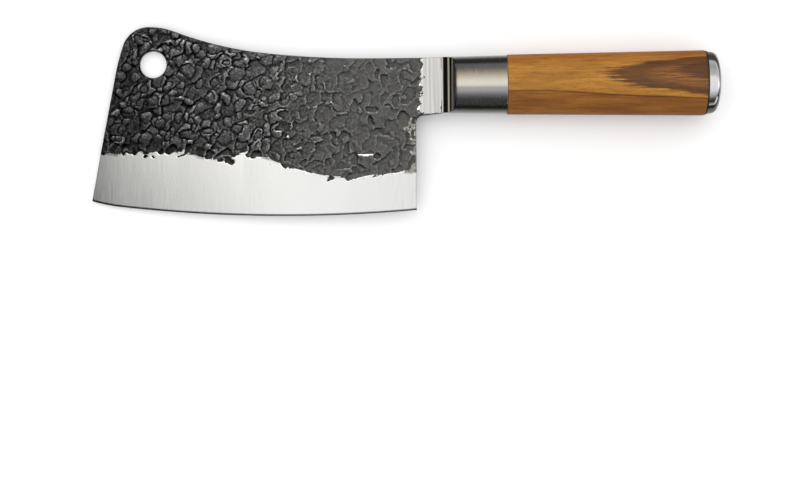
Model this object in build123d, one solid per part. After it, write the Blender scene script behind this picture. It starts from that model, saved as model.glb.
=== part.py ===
from build123d import *
import os
from math import asin, cos, degrees, radians, sin, sqrt, tan, tau

# Meat cleaver, in millimetres.
# Origin: centre of the hanging hole, half way through the blade.
# +X runs along the blade to the butt, +Y from the cutting edge to the spine, +Z out of the left face.

# Blade plate
BLADE_THICK = 3.5
HOLE_DIA = 13.6
HOLE_CHAMFER = 0.4
# The straight part of the spine ends here, and these arcs follow it round the nose.
SPINE_END = (110.8, 2.1)
SPINE_ARCS = [(490, -6.2), (187, -14.85), (36, 21.25), (13.5, 70.85), (112, 8.2)]
# The cutting edge: one long arc about its lowest point, tighter towards the nose.
BELLY_LOW = (71.6, -76.35)
BELLY_RADIUS = 745
NOSE_EDGE_START_X = -17
NOSE_EDGE_RADIUS = 85
NOSE_EDGE_TURN = 9.8
# Heel and neck
HEEL_X = 131.4
HEEL_NOTCH_RADIUS = 4
NECK_START_X = 135.5
NECK_THICK = 3.2
NECK_TOP = 2.35
NECK_BOTTOM = -25.7
NECK_SLOPE = 5.6
NECK_RISE_X = 132
# Ground faces
BEVEL_HEIGHT = 24
EDGE_BEVEL_HEIGHT = 0.8
EDGE_BEVEL_THICK = 0.7
EDGE_LAND = 0.1
# Cutters run this far past the edge, and by this angle past the heel.
CUT_MARGIN = 4
CUT_MARGIN_ANGLE = 1
NOSE_CUT_ANGLE = 40
# Tang, inside the bolster and the rod
TANG_THICK = 3
TANG_HEIGHT = 16
TONGUE_HEIGHT = 7
TONGUE_START_X = 158
TONGUE_END_X = 170

# Handle line: every piece behind the blade is centred on this axis.
AXIS_Y = -11.55
OVAL_POWER = 2.2
OVAL_POINTS = 32
# Bolster: length, and height and thickness at each end
BOLSTER_START_X = 144.35
BOLSTER_END_X = 177.1
BOLSTER_FRONT = (28.1, 21)
BOLSTER_REAR = (29.3, 22)
BOLSTER_ROUND = 0.5
COVE_RADIUS = 6.3
COVE_LIP_THICK = 4
COVE_WALL_ANGLE = 80
# Wood
HANDLE_MIDDLE_X = 223.5
HANDLE_END_X = 275.6
HANDLE_FRONT = (29.9, 22.6)
HANDLE_MIDDLE = (31.1, 24)
HANDLE_REAR = (32.5, 25.6)
ROD_BORE_DIA = 10
COUNTERBORE_DIA = 18
COUNTERBORE_DEPTH = 10
# Rod and its M8 fasteners, with the thread drawn at its nominal diameter
ROD_DIA = 8
ROD_START_X = 160
ROD_END_X = 275
ROD_CHAMFER = 1
WASHER_OUTER_DIA = 16
WASHER_HOLE_DIA = 8.4
WASHER_THICK = 1.6
NUT_FLATS = 13
NUT_HEIGHT = 6.8
NUT_CORNER_RISE = 0.3
# End cap and its spacer
LINER_THICK = 0.8
LINER_SIZE = (31.9, 25)
CAP_FRONT = (31.6, 24.8)
CAP_REAR = (29.2, 22.8)
CAP_LENGTH = 7
CAP_DOME_RADIUS = 52
CAP_ROUND = 3.4
CAP_RECESS_DIA = 15.4
CAP_RECESS_DEPTH = 1
SPIGOT_LENGTH = 7.4

HALF_THICK = BLADE_THICK / 2
LINER_END_X = HANDLE_END_X + LINER_THICK
COUNTERBORE_X = HANDLE_END_X - COUNTERBORE_DEPTH
NUT_X = COUNTERBORE_X + WASHER_THICK
BELLY_CENTRE = Vector(BELLY_LOW[0], BELLY_LOW[1] + BELLY_RADIUS)
# Half angles of the belly arc, from its lowest point to the nose arc and to the heel
BELLY_TO_NOSE = degrees(asin((BELLY_LOW[0] - NOSE_EDGE_START_X) / BELLY_RADIUS))
BELLY_TO_HEEL = degrees(asin((HEEL_X - BELLY_LOW[0]) / BELLY_RADIUS))


def on_axis(x):
    """Location on the handle line, with the local Z axis along +X."""
    return Plane(origin=(x, AXIS_Y, 0), x_dir=(0, 1, 0), z_dir=(1, 0, 0)).location


def rod_shape(x_start, x_end, diameter):
    """Cylinder along the handle line between two stations."""
    length = x_end - x_start
    return on_axis(x_start + length / 2) * Cylinder(diameter / 2, length)


def block(x_start, x_end, height, thick):
    """Box centred on the handle line between two stations."""
    middle = Pos((x_start + x_end) / 2, AXIS_Y, 0)
    return middle * Box(x_end - x_start, height, thick)


def signed_power(value, power):
    return abs(value) ** power * (1 if value > 0 else -1)


def oval(x, size):
    """Squarish oval face across the handle line: a superellipse of the given height and thickness."""
    height, thick = size
    points = []
    for step in range(OVAL_POINTS):
        turn = tau * step / OVAL_POINTS
        across = height / 2 * signed_power(cos(turn), 2 / OVAL_POWER)
        out = thick / 2 * signed_power(sin(turn), 2 / OVAL_POWER)
        points.append((across, out))
    return on_axis(x) * make_face(Spline(*points, periodic=True))


def heel_notch_start():
    """Height at which the heel turns into the sloping underside of the neck."""
    slope = radians(NECK_SLOPE)
    run = BOLSTER_START_X - HEEL_X - HEEL_NOTCH_RADIUS * (1 - sin(slope))
    return NECK_BOTTOM - run * tan(slope) - HEEL_NOTCH_RADIUS * cos(slope)


def blade_outline():
    """Side view of the blade with its neck, from the bolster round the nose and back."""
    with BuildSketch() as outline:
        with BuildLine():
            Polyline((BOLSTER_START_X, NECK_TOP), (NECK_RISE_X, SPINE_END[1]), SPINE_END)
            point = Vector(*SPINE_END)
            heading = Vector(-1, 0)
            for radius, turn in SPINE_ARCS:
                arc = JernArc(point, heading, radius, turn)
                point = arc @ 1
                heading = arc % 1
            nose_top = point
            belly_front = JernArc(BELLY_LOW, (-1, 0), BELLY_RADIUS, -BELLY_TO_NOSE)
            nose_edge = JernArc(belly_front @ 1, belly_front % 1, NOSE_EDGE_RADIUS, -NOSE_EDGE_TURN)
            Line(nose_top, nose_edge @ 1)
            belly_rear = JernArc(BELLY_LOW, (1, 0), BELLY_RADIUS, BELLY_TO_HEEL)
            heel = Line(belly_rear @ 1, (HEEL_X, heel_notch_start()))
            notch = JernArc(heel @ 1, (0, 1), HEEL_NOTCH_RADIUS, NECK_SLOPE - 90)
            Polyline(notch @ 1, (BOLSTER_START_X, NECK_BOTTOM), (BOLSTER_START_X, NECK_TOP))
        make_face()
    return outline.sketch


def bevel_cutter(centre, radius, start_angle, turn):
    """Ring segment about an arc of the edge that leaves the blade's wedge below it."""
    outward = Vector(cos(radians(start_angle)), sin(radians(start_angle)), 0)
    section_plane = Plane(origin=centre, x_dir=outward, z_dir=outward.cross(Vector(0, 0, 1)))
    section = Polyline(
        (radius - BEVEL_HEIGHT, HALF_THICK),
        (radius - EDGE_BEVEL_HEIGHT, EDGE_BEVEL_THICK / 2),
        (radius, EDGE_LAND / 2),
        (radius + CUT_MARGIN, EDGE_LAND / 2),
        (radius + CUT_MARGIN, BLADE_THICK),
        (radius - BEVEL_HEIGHT, BLADE_THICK),
        close=True,
    )
    face = section_plane * make_face(section)
    return revolve(face, Axis(centre, (0, 0, 1)), turn)


def make_blade():
    """Plate with ground bevels, polished neck, hanging hole, tang and tongue."""
    plate = extrude(blade_outline(), HALF_THICK, both=True)
    nose_start = -90 - BELLY_TO_NOSE
    toward_centre = Vector(sin(radians(BELLY_TO_NOSE)), cos(radians(BELLY_TO_NOSE)))
    nose_tangent_point = BELLY_CENTRE - toward_centre * BELLY_RADIUS
    nose_centre = nose_tangent_point + toward_centre * NOSE_EDGE_RADIUS
    belly_angle = BELLY_TO_NOSE + BELLY_TO_HEEL + CUT_MARGIN_ANGLE
    upper = bevel_cutter(BELLY_CENTRE, BELLY_RADIUS, nose_start, belly_angle)
    upper += bevel_cutter(nose_centre, NOSE_EDGE_RADIUS, nose_start - NOSE_CUT_ANGLE, NOSE_CUT_ANGLE)
    plate -= upper
    plate -= mirror(upper, Plane.XY)

    neck_height = 2 * (NECK_TOP - NECK_BOTTOM)
    neck_stock = block(NECK_START_X, BOLSTER_START_X, neck_height, BLADE_THICK)
    plate -= neck_stock - block(NECK_START_X, BOLSTER_START_X, neck_height, NECK_THICK)

    plate -= Cylinder(HOLE_DIA / 2, 2 * BLADE_THICK)
    rims = [edge for edge in plate.edges().filter_by(GeomType.CIRCLE) if edge.radius == HOLE_DIA / 2]
    plate = chamfer(rims, HOLE_CHAMFER)

    plate += block(BOLSTER_START_X, TONGUE_START_X, TANG_HEIGHT, TANG_THICK)
    plate += block(TONGUE_START_X, TONGUE_END_X, TONGUE_HEIGHT, TANG_THICK)
    return plate


def cove_cutter():
    """Block above the hollow front of the bolster: a quarter-round foot and a steep wall."""
    lip = COVE_LIP_THICK / 2
    with BuildSketch(Plane.XZ) as profile:
        with BuildLine():
            foot = JernArc((BOLSTER_START_X, lip), (1, 0), COVE_RADIUS, COVE_WALL_ANGLE)
            wall = PolarLine(foot @ 1, BOLSTER_REAR[1], COVE_WALL_ANGLE)
            front_x = BOLSTER_START_X - CUT_MARGIN
            Polyline(wall @ 1, (front_x, (wall @ 1).Y), (front_x, lip), foot @ 0)
        make_face()
    return extrude(profile.sketch, 2 * BOLSTER_REAR[0], both=True)


def make_bolster():
    """Oval steel body with a cove on both faces, slotted for the tang and bored for the rod."""
    body = loft([oval(BOLSTER_START_X, BOLSTER_FRONT), oval(BOLSTER_END_X, BOLSTER_REAR)])
    body = fillet(body.edges().sort_by(Axis.X)[-1], BOLSTER_ROUND)
    cove = cove_cutter()
    body -= cove
    body -= mirror(cove, Plane.XY)
    body -= block(BOLSTER_START_X, TONGUE_START_X, TANG_HEIGHT, TANG_THICK)
    body -= rod_shape(TONGUE_START_X, BOLSTER_END_X, ROD_DIA)
    return body


def make_handle():
    """Wooden handle with its lengthwise bore and the counterbore in the butt."""
    sections = [
        oval(BOLSTER_END_X, HANDLE_FRONT),
        oval(HANDLE_MIDDLE_X, HANDLE_MIDDLE),
        oval(HANDLE_END_X, HANDLE_REAR),
    ]
    body = loft(sections)
    body -= rod_shape(BOLSTER_END_X, HANDLE_END_X, ROD_BORE_DIA)
    body -= rod_shape(COUNTERBORE_X, HANDLE_END_X, COUNTERBORE_DIA)
    return body


def make_tang_rod():
    """Round rod with a slot at its front end for the tongue of the tang."""
    rod = rod_shape(ROD_START_X, ROD_END_X, ROD_DIA)
    rod = chamfer(rod.edges().sort_by(Axis.X)[-1], ROD_CHAMFER)
    return rod - block(ROD_START_X, TONGUE_END_X, ROD_DIA, TANG_THICK)


def make_tang_adhesive():
    """Epoxy between the rod and the bore of the wood."""
    sleeve = rod_shape(BOLSTER_END_X, COUNTERBORE_X, ROD_BORE_DIA)
    return sleeve - rod_shape(BOLSTER_END_X, COUNTERBORE_X, ROD_DIA)


def make_tang_washer():
    disc = rod_shape(COUNTERBORE_X, NUT_X, WASHER_OUTER_DIA)
    return disc - rod_shape(COUNTERBORE_X, NUT_X, WASHER_HOLE_DIA)


def make_tang_nut():
    """Hexagon nut, with the corners of both faces turned off."""
    corner_radius = NUT_FLATS / sqrt(3)
    hexagon = extrude(on_axis(NUT_X) * RegularPolygon(corner_radius, 6), NUT_HEIGHT)
    turned = rod_shape(NUT_X, NUT_X + NUT_HEIGHT, 2 * corner_radius)
    turned = chamfer(turned.edges().filter_by(GeomType.CIRCLE), NUT_CORNER_RISE, 2 * NUT_CORNER_RISE)
    return (hexagon & turned) - rod_shape(NUT_X, NUT_X + NUT_HEIGHT, ROD_DIA)


def make_rear_liner():
    """Fibre spacer between the wood and the end cap."""
    plate = extrude(oval(HANDLE_END_X, LINER_SIZE), LINER_THICK)
    return plate - rod_shape(HANDLE_END_X, LINER_END_X, COUNTERBORE_DIA)


def make_end_cap():
    """Oval cap with a domed end, and a hollow spigot that plugs the counterbore round the nut."""
    cap_end_x = LINER_END_X + CAP_LENGTH
    drum = loft([oval(LINER_END_X, CAP_FRONT), oval(cap_end_x, CAP_REAR)])
    dome = Pos(cap_end_x - CAP_DOME_RADIUS, AXIS_Y, 0) * Sphere(CAP_DOME_RADIUS)
    body = drum & dome
    body = fillet(body.edges().sort_by(Axis.X)[-1], CAP_ROUND)
    body += rod_shape(LINER_END_X - SPIGOT_LENGTH, LINER_END_X, COUNTERBORE_DIA)
    return body - rod_shape(LINER_END_X - SPIGOT_LENGTH, LINER_END_X + CAP_RECESS_DEPTH, CAP_RECESS_DIA)


PIECES = {
    "blade": make_blade,
    "bolster": make_bolster,
    "handle": make_handle,
    "tang_rod": make_tang_rod,
    "tang_adhesive": make_tang_adhesive,
    "tang_washer": make_tang_washer,
    "tang_nut": make_tang_nut,
    "rear_liner": make_rear_liner,
    "end_cap": make_end_cap,
}

os.makedirs("parts", exist_ok=True)
for name, make in PIECES.items():
    export_step(make(), f"parts/{name}.step")
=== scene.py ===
import math

import bmesh
import bpy
import numpy as np
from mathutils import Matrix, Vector
from mathutils.geometry import delaunay_2d_cdt
from mathutils.kdtree import KDTree


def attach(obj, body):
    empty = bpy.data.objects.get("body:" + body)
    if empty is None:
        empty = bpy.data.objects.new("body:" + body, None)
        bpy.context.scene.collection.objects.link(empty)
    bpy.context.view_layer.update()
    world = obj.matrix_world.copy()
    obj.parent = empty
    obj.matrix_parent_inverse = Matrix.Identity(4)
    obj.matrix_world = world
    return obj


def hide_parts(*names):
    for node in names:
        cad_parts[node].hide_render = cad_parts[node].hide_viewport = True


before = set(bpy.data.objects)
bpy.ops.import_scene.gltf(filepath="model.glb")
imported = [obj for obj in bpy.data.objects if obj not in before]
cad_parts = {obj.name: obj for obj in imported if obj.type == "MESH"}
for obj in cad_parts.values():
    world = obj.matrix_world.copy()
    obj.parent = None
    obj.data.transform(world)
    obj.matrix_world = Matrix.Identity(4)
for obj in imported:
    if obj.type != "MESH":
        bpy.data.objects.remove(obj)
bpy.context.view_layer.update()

# Meat cleaver. Sizes are in millimetres in the part's own frame, and new_piece() turns them into metres:
# +X runs to the butt, +Y to the spine, +Z out of the left face, and the hanging hole is at the origin.
MM = 0.001

# Blade outline
HALF_THICK = 1.75
HOLE_RADIUS = 6.8
HOLE_CHAMFER = 0.4
SPINE_END = (110.8, 2.1)
SPINE_ARCS = [(490, -6.2), (187, -14.85), (36, 21.25), (13.5, 70.85), (112, 8.2)]
BELLY_LOW = (71.6, -76.35)
BELLY_RADIUS = 745
NOSE_EDGE_START_X = -17
NOSE_EDGE_RADIUS = 85
NOSE_EDGE_TURN = 9.8
HEEL_X = 131.4
HEEL_NOTCH_RADIUS = 4
NECK_RISE_X = 132
NECK_TOP = 2.35
NECK_BOTTOM = -25.7
NECK_SLOPE = 5.6
NECK_HALF_THICK = 1.6
TANG_HALF_THICK = 1.5
TANG_HEIGHT = 16
TANG_END_X = 158
TONGUE_HEIGHT = 7
TONGUE_END_X = 170
# Ground faces of the blade
EDGE_BEVEL_HEIGHT = 0.8
EDGE_BEVEL_HALF_THICK = 0.35
EDGE_HALF_LAND = 0.05
# Where the ground bevel reaches the full thickness: station along the blade, height above the edge
GRIND_LINE = [
    (-31, 25.5), (-14, 28), (12, 31), (45, 30.5), (62, 27), (84, 21), (98, 18.5), (112, 19.5), (132, 21.5),
]
# The ragged lower border of the hammered surface, in the same terms
SCALE_LINE = [
    (-31, 24), (-26, 24.5), (-18, 25), (-13, 27), (-9, 31), (-4, 26.8), (4, 30), (8, 32), (12, 29.2),
    (16.5, 31), (23, 27.5), (36, 26.8), (42, 30), (47, 31.7), (55, 28.8), (66, 25.2), (84, 20), (98, 17.6),
    (108, 19), (120, 19.4), (132, 21.5),
]
NECK_GRIND_X = 135.4
HEEL_GRIND_WIDTH = 3.2
HEEL_GRIND_SLOPE = 0.05
GRIND_SLOPE = 0.09
HAMMERED_HALF_THICK = 1.63
GRIND_RELEASE = 0.12
# A small spot above the heel where the grinding took the tops off the hammered surface
RUBBED_CENTRE = (106, -46.2)
RUBBED_HALF_SIZE = (4.2, 0.7)
RUBBED_SINK = 0.06
# Hammer marks: the grid they are worked out on, and how many there are
RELIEF_LOW = (-34, -80)
RELIEF_SIZE = (172, 104)
RELIEF_STEP = 0.25
PLATE_COUNT = 230
PEBBLE_COUNT = 760
SHALLOW_COUNT = 240
# Blade mesh: spacing of its points, and how far they keep from its rim, its hole and its crease
HAMMERED_SPACING = 0.55
GROUND_SPACING = 1.3
OUTLINE_SPACING = 0.6
CREASE_SPACING = 0.9
RIM_CLEARANCE = 0.85
HOLE_CLEARANCE = 0.5
GUARD_INSET = 0.15
EDGE_ROUND = 0.35

# Handle line and the squarish ovals centred on it: (height, thickness)
AXIS_Y = -11.55
OVAL_POWER = 2.2
BOLSTER_START_X = 144.35
BOLSTER_END_X = 177.1
BOLSTER_FRONT = (28.1, 21)
BOLSTER_REAR = (29.3, 22)
BOLSTER_ROUND = 0.5
COVE_RADIUS = 6.3
COVE_LIP = 2
COVE_WALL_ANGLE = 80
COVE_CREASE = 0.22
HANDLE_MIDDLE_X = 223.5
HANDLE_END_X = 275.6
HANDLE_FRONT = (29.9, 22.6)
HANDLE_MIDDLE = (31.1, 24)
HANDLE_REAR = (32.5, 25.6)
HANDLE_ROUND = 0.35
ROD_RADIUS = 4
ROD_BORE_RADIUS = 5
COUNTERBORE_RADIUS = 9
COUNTERBORE_DEPTH = 10
LINER_END_X = 276.4
LINER_SIZE = (31.9, 25)
LINER_ROUND = 0.15
CAP_FRONT = (31.6, 24.8)
CAP_REAR = (29.2, 22.8)
CAP_END_X = 283.4
CAP_DOME_RADIUS = 52
CAP_ROUND = 3.4
CAP_RECESS_RADIUS = 7.7
CAP_RECESS_X = 277.4
SPIGOT_X = 269
RING_POINTS = 192

# Camera: straight above the table, turned so that the handle rises slightly to the right
CAMERA_POINT = (122.74, -93.93)
CAMERA_HEIGHT = 750
CAMERA_LENS = 67.5
CAMERA_TURN = 0.5252
# Studio: the floor in metres, and the softbox that lights the blade alone
FLOOR_HALF_SIZE = 3.0
KEY_TARGET = (60, -35, 0)
KEY_DIRECTION = (-0.5, 1.0, 0.9)
KEY_DISTANCE = 0.75
KEY_SIZE = 0.14
KEY_WATTS = 3.4
BEAM_WATTS = 6.0

SEED = 20


# ---- plane geometry

def walk_arc(start, heading, radius, turn, spacing):
    """Points after start along an arc, and the heading at its end. Angles in radians, left turns positive."""
    count = max(2, math.ceil(abs(turn) * radius / spacing))
    side = math.copysign(1, turn)
    centre = np.array(start) + side * radius * np.array([-math.sin(heading), math.cos(heading)])
    angles = heading - side * math.pi / 2 + turn * np.arange(1, count + 1) / count
    points = centre + radius * np.column_stack([np.cos(angles), np.sin(angles)])
    return points, heading + turn


def subdivide(points, spacing):
    """The closed polygon with extra points on its long sides."""
    result = []
    for start, end in zip(points, np.roll(points, -1, axis=0)):
        count = max(1, math.ceil(np.linalg.norm(end - start) / spacing))
        result.extend(start + (end - start) * np.arange(count)[:, None] / count)
    return np.array(result)


BELLY_CENTRE = np.array([BELLY_LOW[0], BELLY_LOW[1] + BELLY_RADIUS])
BELLY_TO_NOSE = math.asin((BELLY_LOW[0] - NOSE_EDGE_START_X) / BELLY_RADIUS)
BELLY_TO_HEEL = math.asin((HEEL_X - BELLY_LOW[0]) / BELLY_RADIUS)
TOWARD_CENTRE = np.array([math.sin(BELLY_TO_NOSE), math.cos(BELLY_TO_NOSE)])
NOSE_CENTRE = BELLY_CENTRE - TOWARD_CENTRE * (BELLY_RADIUS - NOSE_EDGE_RADIUS)


def on_edge_arc(centre, radius, angles):
    return centre + radius * np.column_stack([np.sin(angles), -np.cos(angles)])


def blade_outline():
    """Side view of the blade, its neck and its tang, counterclockwise."""
    spine = [np.array([[BOLSTER_START_X, NECK_TOP], [NECK_RISE_X, SPINE_END[1]], SPINE_END])]
    heading = math.pi
    for radius, turn in SPINE_ARCS:
        points, heading = walk_arc(spine[-1][-1], heading, radius, math.radians(turn), OUTLINE_SPACING)
        spine.append(points)
    nose_angles = np.linspace(-BELLY_TO_NOSE - math.radians(NOSE_EDGE_TURN), -BELLY_TO_NOSE, 25)
    belly_angles = np.linspace(-BELLY_TO_NOSE, BELLY_TO_HEEL, 250)
    slope = math.radians(NECK_SLOPE)
    run = BOLSTER_START_X - HEEL_X - HEEL_NOTCH_RADIUS * (1 - math.sin(slope))
    notch_y = NECK_BOTTOM - run * math.tan(slope) - HEEL_NOTCH_RADIUS * math.cos(slope)
    notch, _ = walk_arc((HEEL_X, notch_y), math.pi / 2, HEEL_NOTCH_RADIUS, slope - math.pi / 2, 0.4)
    tang_half = TANG_HEIGHT / 2
    tongue_half = TONGUE_HEIGHT / 2
    rear = np.array([
        (BOLSTER_START_X, NECK_BOTTOM),
        (BOLSTER_START_X, AXIS_Y - tang_half),
        (TANG_END_X, AXIS_Y - tang_half),
        (TANG_END_X, AXIS_Y - tongue_half),
        (TONGUE_END_X, AXIS_Y - tongue_half),
        (TONGUE_END_X, AXIS_Y + tongue_half),
        (TANG_END_X, AXIS_Y + tongue_half),
        (TANG_END_X, AXIS_Y + tang_half),
        (BOLSTER_START_X, AXIS_Y + tang_half),
    ])
    outline = np.vstack([
        *spine,
        on_edge_arc(NOSE_CENTRE, NOSE_EDGE_RADIUS, nose_angles),
        on_edge_arc(BELLY_CENTRE, BELLY_RADIUS, belly_angles[1:]),
        [(HEEL_X, notch_y)],
        notch,
        rear,
    ])
    return subdivide(outline, OUTLINE_SPACING)


def edge_height(x, y):
    """Distance in from the cutting edge."""
    turned = np.arctan2(x - BELLY_CENTRE[0], BELLY_CENTRE[1] - y)
    belly = BELLY_RADIUS - np.hypot(x - BELLY_CENTRE[0], y - BELLY_CENTRE[1])
    nose = NOSE_EDGE_RADIUS - np.hypot(x - NOSE_CENTRE[0], y - NOSE_CENTRE[1])
    return np.where(turned < -BELLY_TO_NOSE, nose, belly)


def inside(points, polygon):
    """Which points lie inside the polygon, by counting crossings."""
    result = np.zeros(len(points), bool)
    x, y = points.T
    for (ax, ay), (bx, by) in zip(polygon, np.roll(polygon, -1, axis=0)):
        if ay != by:
            crosses = (ay > y) != (by > y)
            result ^= crosses & (x < ax + (y - ay) * (bx - ax) / (by - ay))
    return result


def distance_to(points, outline):
    """Distance from each point to the nearest point of the outline."""
    tree = KDTree(len(outline))
    for index, (x, y) in enumerate(outline):
        tree.insert((x, y, 0), index)
    tree.balance()
    return np.array([tree.find((x, y, 0))[2] for x, y in points])


def inset(polygon, depth):
    """The counterclockwise polygon drawn in by a depth given for each of its points."""
    after = np.roll(polygon, -1, axis=0) - polygon
    after /= np.linalg.norm(after, axis=1)[:, None]
    before = np.roll(after, 1, axis=0)
    inward = np.column_stack([-(after + before)[:, 1], (after + before)[:, 0]])
    inward /= np.linalg.norm(inward, axis=1)[:, None]
    half_cos = np.clip(np.sqrt((1 + (after * before).sum(1)) / 2), 0.5, 1)
    return polygon + inward * (depth / half_cos)[:, None]


def smoothstep(low, high, value):
    t = np.clip((value - low) / (high - low), 0, 1)
    return t * t * (3 - 2 * t)


# ---- hammered relief

def above_scale_line(x, y):
    """Height over the ragged line where the ground bevel ends and the hammered surface begins."""
    return edge_height(x, y) - np.interp(x, *zip(*SCALE_LINE))


class Relief:
    """Height of a hammered face over the blade plate, on a fine square grid."""

    def __init__(self, seed):
        self.rng = np.random.default_rng(seed)
        self.low = np.array(RELIEF_LOW, float)
        counts = np.ceil(np.array(RELIEF_SIZE) / RELIEF_STEP).astype(int)
        grid = np.meshgrid(np.arange(counts[0]), np.arange(counts[1]), indexing="ij")
        self.x = self.low[0] + grid[0] * RELIEF_STEP
        self.y = self.low[1] + grid[1] * RELIEF_STEP
        self.height = np.zeros(self.x.shape)
        self.warped_x = self.x + 0.5 * self.noise(8) + 0.13 * self.noise(2.6)
        self.warped_y = self.y + 0.5 * self.noise(8) + 0.13 * self.noise(2.6)

    def blurred(self, field, size):
        """The field without what is much smaller than size."""
        spectrum = np.fft.rfft2(field)
        across = np.fft.fftfreq(self.x.shape[0], RELIEF_STEP)[:, None]
        along = np.fft.rfftfreq(self.x.shape[1], RELIEF_STEP)[None, :]
        spectrum *= np.exp(-((across**2 + along**2) * size**2))
        return np.fft.irfft2(spectrum, s=self.x.shape)

    def noise(self, size):
        """Smooth random field of unit deviation, with hills about as wide as size."""
        field = self.blurred(self.rng.standard_normal(self.x.shape), 0.9 * size)
        return field / field.std()

    def strike(self, centre, long, wide, angle, lift, dome, tilt, soft):
        """One raised or sunk oval mark over whatever was there: domed, tilted up to the lower right."""
        reach = 1.6 * max(long, wide) + 3
        first = np.maximum(((centre - reach - self.low) / RELIEF_STEP).astype(int), 0)
        last = ((centre + reach - self.low) / RELIEF_STEP).astype(int)
        window = (slice(first[0], last[0]), slice(first[1], last[1]))
        dx = self.warped_x[window] - centre[0]
        dy = self.warped_y[window] - centre[1]
        u = (dx * math.cos(angle) + dy * math.sin(angle)) / long
        v = (dy * math.cos(angle) - dx * math.sin(angle)) / wide
        radius = (np.abs(u) ** 2.3 + np.abs(v) ** 2.3) ** (1 / 2.3)
        crown = np.maximum(1 - radius**2, 0) ** 0.7
        body = lift + dome * crown + tilt * (dx - dy) / 1.414
        cover = smoothstep(1, 1 - soft / wide, radius)
        self.height[window] += cover * (body - self.height[window])

    def crest(self, reach):
        """How far each point stands above what lies within reach of it."""
        return self.height - self.blurred(self.height, reach)

    def groove(self, path, width, depth):
        """A narrow crack along a path of points."""
        nearest = np.full(self.x.shape, 1e9)
        for start, end in zip(np.array(path[:-1], float), np.array(path[1:], float)):
            along = end - start
            share = (self.warped_x - start[0]) * along[0] + (self.warped_y - start[1]) * along[1]
            share = np.clip(share / (along @ along), 0, 1)
            dx = self.warped_x - start[0] - share * along[0]
            dy = self.warped_y - start[1] - share * along[1]
            nearest = np.minimum(nearest, np.hypot(dx, dy))
        self.height -= depth * np.exp(-((nearest / width) ** 2))

    def sample(self, field, points):
        """Value of a field of this grid at scattered points."""
        place = (points - self.low) / RELIEF_STEP
        corner = np.clip(place.astype(int), 0, np.array(self.x.shape) - 2)
        fx, fy = np.clip(place - corner, 0, 1).T
        i, j = corner.T
        near = field[i, j] * (1 - fx) + field[i + 1, j] * fx
        far = field[i, j + 1] * (1 - fx) + field[i + 1, j + 1] * fx
        return near * (1 - fy) + far * fy


def hammered_relief(seed, cracks):
    """Broad plates, then pebbles that thin out from the nose on, and shallow marks towards the heel."""
    relief = Relief(seed)
    rng = relief.rng
    relief.height = 0.08 * relief.noise(16) + 0.05 * relief.noise(6)

    for _ in range(PLATE_COUNT):
        centre = rng.uniform((-34, -72), (104, 20))
        long = rng.uniform(3.5, 7.5)
        wide = long * rng.uniform(0.45, 0.75)
        angle = math.radians(rng.normal(35, 30))
        relief.strike(centre, long, wide, angle, rng.uniform(-0.28, 0.05), 0.12, rng.uniform(0.02, 0.07), 0.6)
    for _ in range(PEBBLE_COUNT):
        centre = rng.uniform((-34, -72), (98, 20))
        left = 1 - smoothstep(5, 80, centre[0])
        if rng.random() > 0.3 + 0.7 * left:
            continue
        long = rng.uniform(2.1, 4.1)
        wide = long * rng.uniform(0.6, 0.9)
        angle = math.radians(rng.normal(50, 28))
        lift = rng.uniform(-0.32, 0.0)
        dome = rng.uniform(0.38, 0.66) * (0.7 + 0.3 * left)
        # Near the border the marks are dished, so that the grinding leaves their middles dark.
        if abs(above_scale_line(*centre)) < 3.5:
            lift += 0.35
            dome *= -0.9
        relief.strike(centre, long, wide, angle, lift, dome, rng.uniform(0.03, 0.1), rng.uniform(0.25, 0.45))
    for _ in range(SHALLOW_COUNT):
        centre = rng.uniform((64, -66), (134, 4))
        long = rng.uniform(1.8, 5.5)
        wide = long * rng.uniform(0.35, 0.75)
        angle = math.radians(rng.normal(35, 45))
        lift = rng.uniform(-0.2, 0.0)
        dome = rng.uniform(-0.14, 0.16)
        relief.strike(centre, long, wide, angle, lift, dome, rng.uniform(0.01, 0.07), 0.28)

    for path, width, depth in cracks:
        relief.groove(path, width, depth)
    left = 1 - smoothstep(60, 115, relief.x)
    relief.height += (0.010 + 0.008 * left) * relief.noise(0.9) + 0.014 * relief.noise(2)
    return relief


# The long cracks and folds of each face: path over the blade, width, depth
LEFT_CRACKS = [
    ([(112, -34.5), (116, -35.9), (122.2, -38.9), (123.7, -42), (123.4, -52.5)], 0.45, 0.14),
    ([(123.7, -42), (126, -36), (128.6, -31)], 0.4, 0.08),
    ([(56, -20.5), (64.4, -17.6), (68, -15.5), (73.4, -16.5)], 0.5, 0.16),
    ([(74, -37), (84, -38.6), (93, -40)], 0.4, 0.08),
    ([(63, -3), (58, -8), (52, -12)], 0.45, 0.12),
    ([(118, -36.5), (112, -32), (104, -31)], 0.35, 0.05),
]
RIGHT_CRACKS = [
    ([(60, -22), (68, -19), (80, -23)], 0.45, 0.12),
    ([(105, -20), (112, -27), (121, -30)], 0.4, 0.1),
    ([(92, -44), (101, -47), (109, -45)], 0.4, 0.08),
]


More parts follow.
